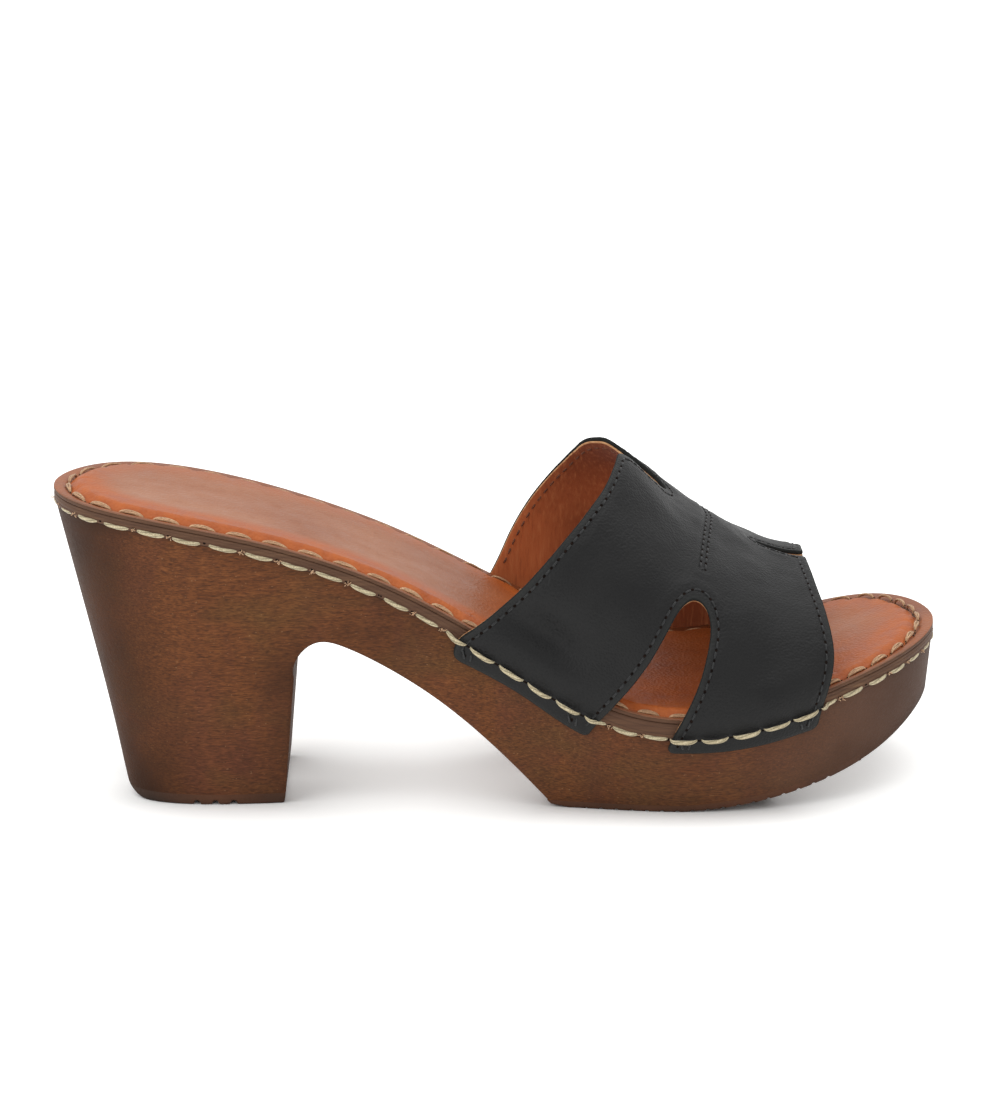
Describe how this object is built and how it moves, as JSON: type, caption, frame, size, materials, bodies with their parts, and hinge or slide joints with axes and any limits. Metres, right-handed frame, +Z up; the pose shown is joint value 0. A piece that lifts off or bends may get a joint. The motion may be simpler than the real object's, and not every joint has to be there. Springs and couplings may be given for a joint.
{
  "type": "wooden clog",
  "caption": "Right-foot high-heeled wooden clog: carved sole block, padded leather footbed and a stitched-on black leather upper with side cutouts.",
  "frame": {"origin": "on the floor below the middle of the shoe's bounding box", "axes": "+X from heel to toe, +Y from the outer (lateral) to the inner (medial) side of the right foot, +Z up"},
  "size_m": [0.2416, 0.1018, 0.0922],
  "materials": {
    "wood": "satin stained, visible fine grain",
    "rubber_sole": "matt brown rubber",
    "edge_band": "burnished edge, satin",
    "foam": "open-cell foam, hidden",
    "tan_leather": "smooth tan leather, satin",
    "black_leather": "smooth grained black leather, satin",
    "lining_leather": "smooth tan lining leather",
    "cream_thread": "waxed twisted thread, cream",
    "beige_thread": "waxed twisted thread, beige",
    "black_thread": "twisted thread, black",
    "tan_thread": "twisted thread, tan"
  },
  "bodies": {
    "root": {"sole_block": "wood", "heel_tip": "rubber_sole", "forefoot_outsole": "rubber_sole", "edge_band": "edge_band", "footbed_cushion": "foam", "footbed_cover": "tan_leather", "upper_outer": "black_leather", "upper_lining": "lining_leather", "rim_stitches_side": "cream_thread", "rim_stitches_top": "beige_thread", "rear_edge_stitches": "black_thread", "front_edge_stitches": "black_thread", "cutout_stitches_lateral": "black_thread", "cutout_stitches_medial": "black_thread", "instep_double_stitches": "black_thread", "corner_tacks": "black_thread", "lining_stitches_rear": "tan_thread", "lining_stitches_front": "tan_thread"}
  },
  "joints": []
}
